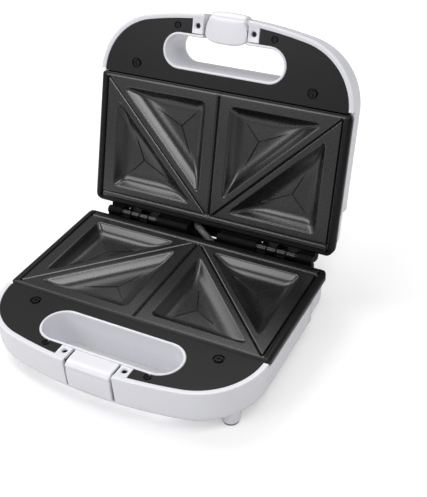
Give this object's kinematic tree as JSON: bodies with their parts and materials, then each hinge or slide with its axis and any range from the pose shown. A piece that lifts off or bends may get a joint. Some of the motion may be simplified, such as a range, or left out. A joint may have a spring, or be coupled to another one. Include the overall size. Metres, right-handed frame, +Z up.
{
  "type": "sandwich toaster",
  "caption": "Compact sandwich toaster with a hinged lid, dark non-stick plates with triangular pockets, a hand slot and a swing latch.",
  "frame": {"origin": "centre of the bounding box's bottom face, on the ground under the feet, with the lid open", "axes": "+Z up, -Y towards the handle and the latch, +Y towards the hinge, +X to the right seen from the handle"},
  "size_m": [0.2246, 0.2604, 0.215],
  "materials": {
    "white_shell": "smooth white moulded plastic with a soft gloss",
    "black_panel": "fine satin black moulded plastic",
    "coated_plate": "die-cast aluminium under a dark satin non-stick coating",
    "heater_steel": "dull drawn steel tube",
    "shield_sheet": "bright rolled sheet",
    "hinge_steel": "glossy black enamelled steel",
    "pin_steel": "turned steel",
    "foot_rubber": "soft grey rubber",
    "insulator": "heat-resistant cream insulator",
    "braid": "grey woven glass-fibre sleeve",
    "red_lens": "clear red lens",
    "green_lens": "clear green lens",
    "black_screw": "black oxide"
  },
  "bodies": {
    "base": {"base_housing": "white_shell", "base_cover": "black_panel", "base_plate": "coated_plate", "base_heater": "heater_steel", "base_shield": "shield_sheet", "base_hinge_rail": "black_panel", "catch": "white_shell", "base_panel_screws": "black_screw", "catch_screws": "black_screw", "foot_pads": "foot_rubber", "underside_screws": "black_screw", "cord_inlet": "black_panel", "terminal_block": "insulator", "thermostat": "heater_steel", "thermal_fuse": "insulator", "base_hinge_left": "hinge_steel", "base_hinge_right": "hinge_steel", "hinge_pin_left": "pin_steel", "hinge_pin_right": "pin_steel", "lead_sleeve": "braid"},
    "lid": {"lid_housing": "white_shell", "lid_cover": "black_panel", "lid_plate": "coated_plate", "lid_heater": "heater_steel", "lid_shield": "shield_sheet", "lid_hinge_rail": "black_panel", "lid_panel_screws": "black_screw", "latch_bracket": "white_shell", "latch_screws": "black_screw", "latch_pin": "pin_steel", "lid_hinge_left": "hinge_steel", "lid_hinge_right": "hinge_steel", "power_lens": "red_lens", "ready_lens": "green_lens", "lamp_holder": "insulator"},
    "latch": {"latch": "white_shell"}
  },
  "joints": [
    {"name": "lid_hinge", "type": "hinge", "parent": "base", "child": "lid", "pos_m": [0, 0.05071, 0.0413], "axis": [1, 0, 0], "range_deg": [0, 105.85], "deforming": ["lead_sleeve"]},
    {"name": "latch_hinge", "type": "hinge", "parent": "lid", "child": "latch", "pos_m": [0, 0.10826, 0.2074], "axis": [-1, 0, 0], "range_deg": [0, 90]}
  ]
}
